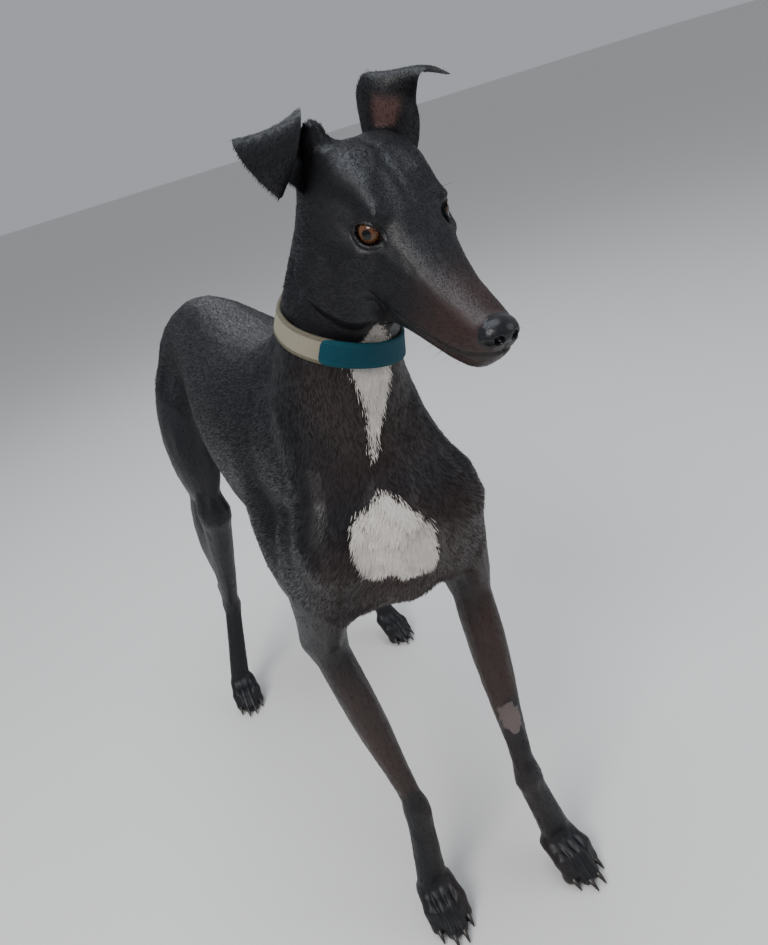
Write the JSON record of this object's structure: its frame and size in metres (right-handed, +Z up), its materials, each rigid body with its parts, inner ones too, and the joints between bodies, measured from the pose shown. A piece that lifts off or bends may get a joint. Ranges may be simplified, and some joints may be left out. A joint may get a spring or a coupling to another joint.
{
  "type": "greyhound",
  "caption": "Life-size standing greyhound with raised head, folded ears, whip tail and a flat two-tone collar.",
  "frame": {"origin": "on the floor, under the middle of the model's outline seen from above", "axes": "+Z up; the dog faces -Y, so its left side is +X"},
  "size_m": [0.3478, 0.9544, 0.9149],
  "materials": {
    "coat": "short glossy black hair",
    "eye": "wet amber brown",
    "collar_teal": "matt woven",
    "collar_cream": "matt woven",
    "collar_fitting": "satin",
    "collar_metal": "polished wire"
  },
  "bodies": {
    "root": {"head": "coat", "eye_right": "eye", "eye_left": "eye", "ear_right": "coat", "ear_left": "coat", "neck": "coat", "torso": "coat", "tail": "coat", "foreleg_right": "coat", "forepaw_right": "coat", "hindleg_right": "coat", "hindpaw_right": "coat", "foreleg_left": "coat", "forepaw_left": "coat", "hindleg_left": "coat", "hindpaw_left": "coat", "collar_teal": "collar_teal", "collar_cream": "collar_cream", "collar_slide": "collar_fitting", "collar_ring": "collar_metal"}
  },
  "joints": []
}
